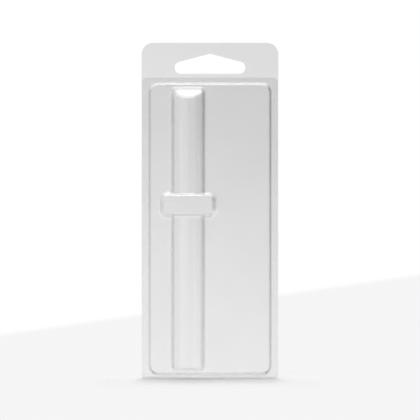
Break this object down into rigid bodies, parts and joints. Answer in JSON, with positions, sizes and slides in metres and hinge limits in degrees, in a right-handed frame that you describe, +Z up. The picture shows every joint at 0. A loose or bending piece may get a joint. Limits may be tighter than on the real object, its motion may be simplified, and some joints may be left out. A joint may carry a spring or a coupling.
{
  "type": "clamshell blister pack",
  "caption": "Clear formed-sheet clamshell folded at its foot, with a peg slot in the header and a raised panel whose tube and collar cavity holds a slim flanged item.",
  "frame": {"origin": "peak of the hang hole, where the peg bears, on the parting plane of the two halves", "axes": "+X to the right seen from the front, +Y to the back, +Z up as the pack hangs"},
  "size_m": [0.06, 0.016, 0.1471],
  "materials": {
    "clear_sheet": "clear gloss",
    "clear_back": "clear gloss",
    "clear_fold": "clear gloss, stress-whitened along the crease"
  },
  "bodies": {
    "front": {"front_shell": "clear_sheet", "living_hinge": "clear_fold"},
    "back": {"back_shell": "clear_back"}
  },
  "joints": [
    {"name": "fold_hinge", "type": "hinge", "parent": "front", "child": "back", "pos_m": [0, 0, -0.1418], "axis": [-1, 0, 0], "range_deg": [0, 180], "deforming": ["living_hinge"]}
  ]
}
